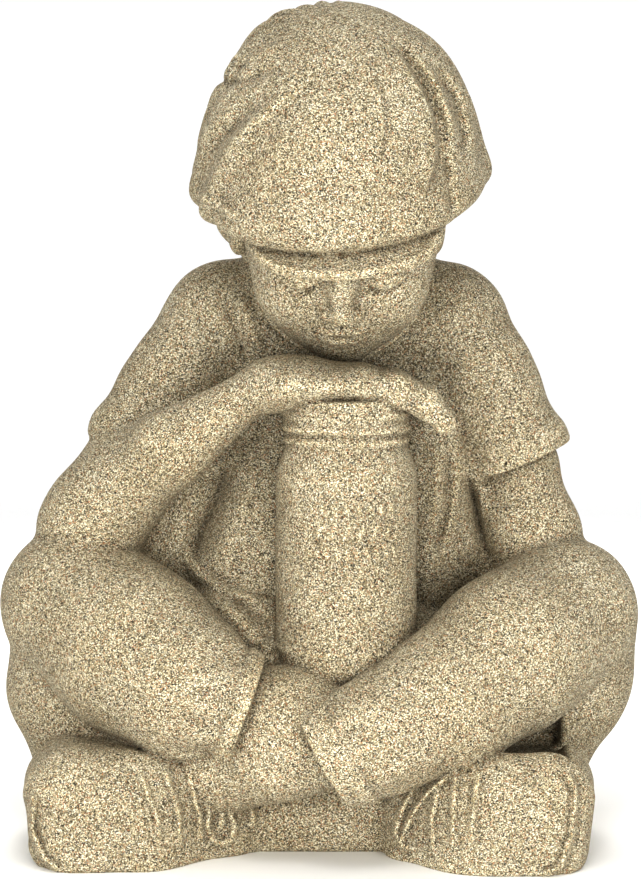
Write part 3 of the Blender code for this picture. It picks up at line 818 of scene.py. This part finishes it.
def sandstone():
    material = bpy.data.materials.new("cast_sandstone")
    material.use_nodes = True
    nodes = Nodes(material)
    shader = material.node_tree.nodes["Principled BSDF"]
    place = nodes.add("ShaderNodeTexCoord").outputs["Object"]

    def grain(scale):
        cells = nodes.add("ShaderNodeTexVoronoi", feature="F1")
        cells.inputs["Scale"].default_value = scale
        nodes.wire(place, cells.inputs["Vector"])
        split = nodes.add("ShaderNodeSeparateColor")
        nodes.wire(cells.outputs["Color"], split.inputs["Color"])
        return nodes.ramp(split.outputs[0], GRAINS, "CONSTANT"), cells.outputs["Distance"]

    def noise(scale, detail):
        node = nodes.add("ShaderNodeTexNoise")
        node.inputs["Scale"].default_value = scale
        node.inputs["Detail"].default_value = detail
        nodes.wire(place, node.inputs["Vector"])
        return node.outputs["Fac"]

    coarse, coarse_height = grain(COARSE_GRAINS)
    fine, fine_height = grain(FINE_GRAINS)
    colour = nodes.mix(FINE_SHARE, coarse, fine)
    colour = nodes.mix(1.0, colour, nodes.ramp(noise(16.0, 4.0), DRIFT), "MULTIPLY")
    # painted shade in the recesses and painted highlight on the ridges, driven by the mesh's pointiness and
    # multiplied into the stone colour
    shade_and_highlight_mask = nodes.add("ShaderNodeNewGeometry").outputs["Pointiness"]
    colour = nodes.mix(1.0, colour, nodes.ramp(shade_and_highlight_mask, RECESS_SHADE_AND_RIDGE_HIGHLIGHT), "MULTIPLY")
    nodes.wire(colour, shader.inputs["Base Color"])
    shader.inputs["Roughness"].default_value = 0.88
    shader.inputs["Specular IOR Level"].default_value = 0.3
    heights = nodes.math("ADD", coarse_height, nodes.math("MULTIPLY", fine_height, 0.5))
    heights = nodes.math("ADD", heights, nodes.math("MULTIPLY", noise(210.0, 3.0), 0.4))
    relief = nodes.add("ShaderNodeBump")
    relief.inputs["Strength"].default_value = GRAIN_RELIEF
    relief.inputs["Distance"].default_value = GRAIN_DEPTH
    nodes.wire(heights, relief.inputs["Height"])
    nodes.wire(relief.outputs["Normal"], shader.inputs["Normal"])
    return material


def floor_material():
    """Pale and matt, fading out into the pale surroundings a few metres away."""
    material = bpy.data.materials.new("pale_floor")
    material.use_nodes = True
    nodes = Nodes(material)
    shader = material.node_tree.nodes["Principled BSDF"]
    shader.inputs["Base Color"].default_value = (0.90, 0.90, 0.89, 1)
    shader.inputs["Roughness"].default_value = 0.95
    far = nodes.add("ShaderNodeVectorMath", operation="LENGTH")
    nodes.wire(nodes.add("ShaderNodeTexCoord").outputs["Object"], far.inputs[0])
    fade = nodes.add("ShaderNodeMapRange", interpolation_type="SMOOTHSTEP")
    for name, value in (("From Min", FADE_FROM), ("From Max", FADE_TO), ("To Min", 1.0), ("To Max", 0.0)):
        fade.inputs[name].default_value = value
    nodes.wire(far.outputs["Value"], fade.inputs["Value"])
    nodes.wire(fade.outputs["Result"], shader.inputs["Alpha"])
    return material


def make_floor(z):
    mesh = bpy.data.meshes.new("floor")
    half = FLOOR_HALF
    corners = [(-half, -half, z), (half, -half, z), (half, half, z), (-half, half, z)]
    mesh.from_pydata(corners, [], [(0, 1, 2, 3)])
    mesh.materials.append(floor_material())
    floor = bpy.data.objects.new("floor", mesh)
    bpy.context.scene.collection.objects.link(floor)
    return floor


def make_light(name, place, target, size, power):
    light = bpy.data.lights.new(name, "AREA")
    light.shape = "DISK"
    light.size = size
    light.energy = power
    lamp = bpy.data.objects.new(name, light)
    lamp.location = place
    lamp.rotation_euler = (Vector(target) - Vector(place)).to_track_quat("-Z", "Y").to_euler()
    lamp.visible_camera = False
    bpy.context.scene.collection.objects.link(lamp)


def make_world():
    """Surroundings: pale to a little above the horizon, dimmer overhead."""
    world = bpy.data.worlds.new("studio")
    bpy.context.scene.world = world
    world.use_nodes = True
    nodes = Nodes(world)
    height = nodes.add("ShaderNodeSeparateXYZ")
    nodes.wire(nodes.add("ShaderNodeTexCoord").outputs["Generated"], height.inputs[0])
    shade = nodes.add("ShaderNodeMapRange", interpolation_type="SMOOTHSTEP")
    shade.inputs["From Min"].default_value = CHANGE_FROM
    shade.inputs["From Max"].default_value = CHANGE_TO
    shade.inputs["To Min"].default_value = HORIZON
    shade.inputs["To Max"].default_value = OVERHEAD
    nodes.wire(height.outputs["Z"], shade.inputs["Value"])
    nodes.wire(shade.outputs["Result"], world.node_tree.nodes["Background"].inputs["Strength"])
    world.node_tree.nodes["Background"].inputs["Color"].default_value = (1.0, 1.0, 1.0, 1)


def make_camera(shift):
    data = bpy.data.cameras.new("camera")
    data.sensor_fit = "VERTICAL"
    data.sensor_height = 24.0
    data.lens = EYE_LENS
    camera = bpy.data.objects.new("camera", data)
    camera.location = Vector(EYE) + Vector((shift.x, shift.y, 0))
    camera.rotation_euler = (math.radians(90 - EYE_PITCH), 0, 0)
    bpy.context.scene.collection.objects.link(camera)
    bpy.context.scene.camera = camera


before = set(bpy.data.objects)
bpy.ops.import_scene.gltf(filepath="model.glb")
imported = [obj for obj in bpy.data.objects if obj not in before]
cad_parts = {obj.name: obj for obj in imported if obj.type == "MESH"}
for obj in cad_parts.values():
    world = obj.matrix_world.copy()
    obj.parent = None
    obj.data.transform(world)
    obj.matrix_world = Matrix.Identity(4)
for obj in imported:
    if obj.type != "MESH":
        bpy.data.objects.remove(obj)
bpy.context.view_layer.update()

statue, shift = carve_statue()
statue.data.materials.clear()
statue.data.materials.append(sandstone())
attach(statue, "root")
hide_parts("boy_statue")

floor = make_floor(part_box("boy_statue")[0].z)
make_world()
for light in LIGHTS:
    make_light(*light)
make_camera(shift)
bpy.context.scene.view_settings.view_transform = "Standard"
bpy.context.scene.view_settings.gamma = GAMMA
